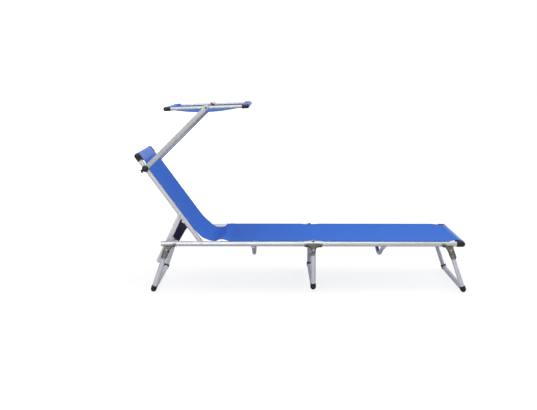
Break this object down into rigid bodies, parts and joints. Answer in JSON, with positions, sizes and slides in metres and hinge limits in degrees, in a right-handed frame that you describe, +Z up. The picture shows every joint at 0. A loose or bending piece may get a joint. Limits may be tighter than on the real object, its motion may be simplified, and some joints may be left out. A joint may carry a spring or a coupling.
{
  "type": "sun lounger with canopy",
  "caption": "Folding sun lounger with a sling seat, a reclining backrest held by a notched prop, tubular legs and a tilting cloth canopy on two arms.",
  "frame": {"origin": "bottom centre of the bounding box, on the floor, with the lounger set up as in the picture", "axes": "+X to the foot end, +Z up, +Y to the side away from the camera, so -Y is the near side"},
  "size_m": [1.7002, 0.5886, 0.9619],
  "materials": {
    "frame_tube": "satin",
    "leg_tube": "matte",
    "bracket_steel": "matte",
    "black_plastic": "matte",
    "sling_cloth": "woven",
    "prop_panel": "woven"
  },
  "bodies": {
    "rear_frame": {"rear_rail_near": "frame_tube", "rear_rail_far": "frame_tube", "rear_stretcher": "leg_tube", "rear_sling": "sling_cloth", "rear_bracket_near": "bracket_steel", "rear_bracket_far": "bracket_steel", "middle_bracket_near": "bracket_steel", "middle_bracket_far": "bracket_steel"},
    "front_frame": {"front_rail_near": "frame_tube", "front_rail_far": "frame_tube", "foot_corner_near": "black_plastic", "foot_corner_far": "black_plastic", "foot_crossbar": "frame_tube", "front_stretcher": "leg_tube", "front_sling": "sling_cloth", "front_bracket_near": "bracket_steel", "front_bracket_far": "bracket_steel"},
    "rear_legs": {"rear_leg_near": "leg_tube", "rear_leg_far": "leg_tube", "rear_foot_near": "black_plastic", "rear_foot_far": "black_plastic", "rear_floor_bar": "leg_tube"},
    "middle_legs": {"middle_leg_near": "leg_tube", "middle_leg_far": "leg_tube", "middle_foot_near": "black_plastic", "middle_foot_far": "black_plastic", "middle_floor_bar": "leg_tube"},
    "front_legs": {"front_leg_near": "leg_tube", "front_leg_far": "leg_tube", "front_foot_near": "black_plastic", "front_foot_far": "black_plastic", "front_floor_bar": "leg_tube"},
    "backrest": {"backrest_rail_near": "frame_tube", "backrest_rail_far": "frame_tube", "head_corner_near": "black_plastic", "head_corner_far": "black_plastic", "arm_clamp_near": "black_plastic", "arm_clamp_far": "black_plastic", "head_crossbar": "frame_tube", "backrest_sling": "sling_cloth"},
    "prop": {"prop_bar_near": "leg_tube", "prop_bar_far": "leg_tube", "prop_cross_panel": "prop_panel"},
    "canopy_arms": {"canopy_arm_near": "frame_tube", "canopy_arm_far": "frame_tube"},
    "canopy": {"canopy_side_near": "frame_tube", "canopy_side_far": "frame_tube", "tilt_clamp_near": "black_plastic", "tilt_clamp_far": "black_plastic", "canopy_front_corner_near": "black_plastic", "canopy_front_corner_far": "black_plastic", "canopy_rear_corner_near": "black_plastic", "canopy_rear_corner_far": "black_plastic", "canopy_front_bar": "frame_tube", "canopy_rear_bar": "frame_tube", "canopy_sling": "sling_cloth"},
    "arm_knob_near": {"arm_knob_near": "black_plastic"},
    "arm_knob_far": {"arm_knob_far": "black_plastic"},
    "tilt_knob_near": {"tilt_knob_near": "black_plastic"},
    "tilt_knob_far": {"tilt_knob_far": "black_plastic"}
  },
  "joints": [
    {"name": "front_fold", "type": "hinge", "parent": "rear_frame", "child": "front_frame", "pos_m": [0.06301, 0, 0.2635], "axis": [0, -1, 0], "range_deg": [0, 110]},
    {"name": "backrest_recline", "type": "hinge", "parent": "rear_frame", "child": "backrest", "pos_m": [-0.51199, 0, 0.25], "axis": [0, -1, 0], "range_deg": [0, 54]},
    {"name": "prop_swing", "type": "hinge", "parent": "backrest", "child": "prop", "pos_m": [-0.6204, 0, 0.39496], "axis": [0, -1, 0], "range_deg": [-118, 0]},
    {"name": "canopy_swing", "type": "hinge", "parent": "backrest", "child": "canopy_arms", "pos_m": [-0.79178, 0, 0.63509], "axis": [0, -1, 0], "range_deg": [-60, 80]},
    {"name": "canopy_tilt", "type": "hinge", "parent": "canopy_arms", "child": "canopy", "pos_m": [-0.48116, 0, 0.94248], "axis": [0, -1, 0], "range_deg": [-90, 90]},
    {"name": "front_leg_fold", "type": "hinge", "parent": "front_frame", "child": "front_legs", "pos_m": [0.76501, 0, 0.2188], "axis": [0, 1, 0], "range_deg": [0, 105]},
    {"name": "middle_leg_fold", "type": "hinge", "parent": "rear_frame", "child": "middle_legs", "pos_m": [0.06301, 0, 0.2188], "axis": [0, -1, 0], "range_deg": [0, 86]},
    {"name": "rear_leg_fold", "type": "hinge", "parent": "rear_frame", "child": "rear_legs", "pos_m": [-0.68899, 0, 0.2188], "axis": [0, -1, 0], "range_deg": [0, 105]},
    {"name": "arm_knob_near_turn", "type": "hinge", "parent": "backrest", "child": "arm_knob_near", "pos_m": [-0.80763, -0.251, 0.62357], "axis": [0.809, 0, 0.5878], "continuous": true},
    {"name": "arm_knob_far_turn", "type": "hinge", "parent": "backrest", "child": "arm_knob_far", "pos_m": [-0.80763, 0.251, 0.62357], "axis": [0.809, 0, 0.5878], "continuous": true},
    {"name": "tilt_knob_near_turn", "type": "hinge", "parent": "canopy", "child": "tilt_knob_near", "pos_m": [-0.48116, -0.2374, 0.94248], "axis": [0, 1, 0], "continuous": true},
    {"name": "tilt_knob_far_turn", "type": "hinge", "parent": "canopy", "child": "tilt_knob_far", "pos_m": [-0.48116, 0.2374, 0.94248], "axis": [0, 1, 0], "continuous": true}
  ],
  "couplings": [
    {"joint": "prop_swing", "follows": "backrest_recline", "ratio": -2.17}
  ]
}
